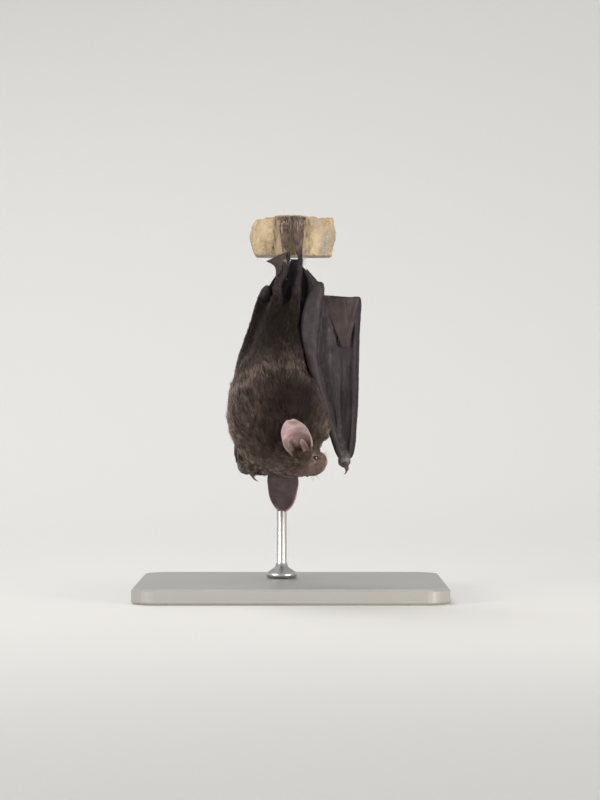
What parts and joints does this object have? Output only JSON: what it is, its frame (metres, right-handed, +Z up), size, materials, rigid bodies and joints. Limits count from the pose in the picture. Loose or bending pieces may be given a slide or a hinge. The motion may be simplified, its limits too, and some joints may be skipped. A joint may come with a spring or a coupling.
{
  "type": "small bat on a display stand",
  "caption": "Life-size still model of a small dark brown bat asleep head down, wings folded, toes hooked on a piece of rock held by a plain stand.",
  "frame": {"origin": "centre of the underside of the stand's base", "axes": "+Z up, from the bat's head to its feet; the bat's back faces -Y and its belly +Y; its left wing is on the +X side"},
  "size_m": [0.0798, 0.0598, 0.0994],
  "materials": {
    "fur": "dense short fur, very dark brown with frosted grey-brown tips",
    "face_skin": "thinly haired brown skin, pinker and moist at the nose and lips",
    "ear_skin": "thin matt skin, purplish brown outside and pink inside",
    "wing_skin": "folded purplish grey-brown membrane with fine wrinkles and a soft sheen",
    "arm_skin": "taut lavender-grey skin over the forearm, slightly shiny at the wrist",
    "foot_skin": "wrinkled pinkish-brown skin",
    "claw": "translucent brown horn, glossy",
    "eye": "wet black",
    "rock": "rough broken sandy rock with grey-brown patches",
    "stand_paint": "satin warm grey",
    "stand_steel": "fine brushed"
  },
  "bodies": {
    "root": {"abdomen": "fur", "arm_membrane_left": "wing_skin", "arm_membrane_right": "wing_skin", "chest": "fur", "ear_left": "ear_skin", "ear_right": "ear_skin", "eye_left": "eye", "eye_right": "eye", "fingers_left": "wing_skin", "fingers_right": "wing_skin", "foot_left": "foot_skin", "foot_right": "foot_skin", "forearm_left": "arm_skin", "forearm_right": "arm_skin", "hand_membrane_left": "wing_skin", "hand_membrane_right": "wing_skin", "head": "fur", "lower_jaw": "face_skin", "muzzle": "face_skin", "neck": "fur", "perch_rock": "rock", "rump": "fur", "shin_left": "wing_skin", "shin_right": "wing_skin", "stand_base": "stand_paint", "stand_rod": "stand_steel", "tail": "wing_skin", "tail_fold": "wing_skin", "tail_membrane": "wing_skin", "thigh_left": "fur", "thigh_right": "fur", "thumb_claw_left": "claw", "thumb_claw_right": "claw", "thumb_left": "foot_skin", "thumb_right": "foot_skin", "tragus_left": "ear_skin", "tragus_right": "ear_skin", "upper_arm_left": "fur", "upper_arm_right": "fur", "wing_tip_left": "wing_skin", "wing_tip_right": "wing_skin", "wrist_left": "arm_skin", "wrist_right": "arm_skin"}
  },
  "joints": []
}
